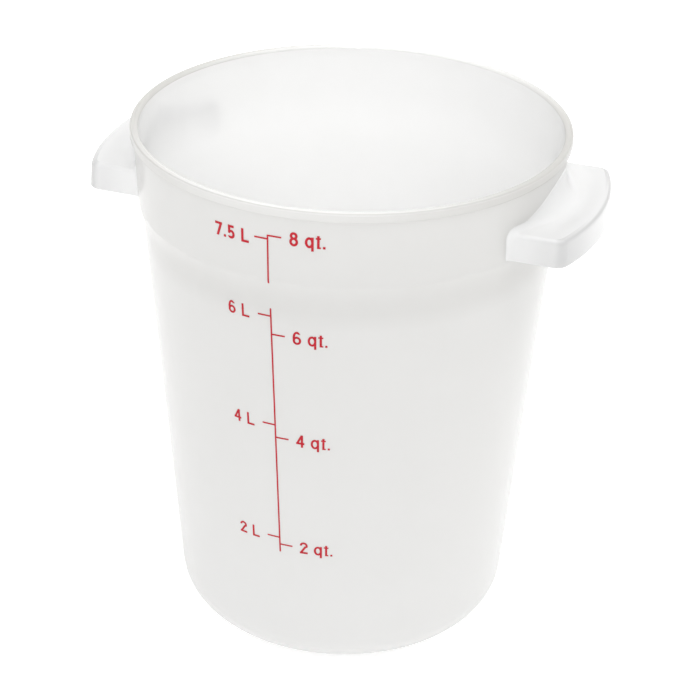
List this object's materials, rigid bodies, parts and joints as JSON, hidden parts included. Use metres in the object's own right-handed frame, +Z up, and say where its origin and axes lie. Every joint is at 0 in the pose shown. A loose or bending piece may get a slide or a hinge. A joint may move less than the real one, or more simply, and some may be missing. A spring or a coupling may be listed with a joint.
{
  "type": "dough proofing container",
  "caption": "Round tapered translucent plastic tub with a collar, a rolled rim, ear handles on two sides and a printed quart and litre scale.",
  "frame": {"origin": "centre of the foot ring, on the plane that the tub stands on", "axes": "+Z up out of the mouth, X through the two handles, -Y towards the printed scale"},
  "size_m": [0.2668, 0.223, 0.2773],
  "materials": {
    "translucent_plastic": "milky translucent moulded polypropylene, satin",
    "red_ink": "thin screen-printed ink, matte"
  },
  "bodies": {
    "root": {"tub": "translucent_plastic", "left_handle": "translucent_plastic", "right_handle": "translucent_plastic", "scale_line_on_collar": "red_ink", "scale_line_on_body": "red_ink", "mark_8_quarts": "red_ink", "mark_7_5_litres": "red_ink", "mark_6_litres": "red_ink", "mark_6_quarts": "red_ink", "mark_4_litres": "red_ink", "mark_4_quarts": "red_ink", "mark_2_litres": "red_ink", "mark_2_quarts": "red_ink"}
  },
  "joints": []
}
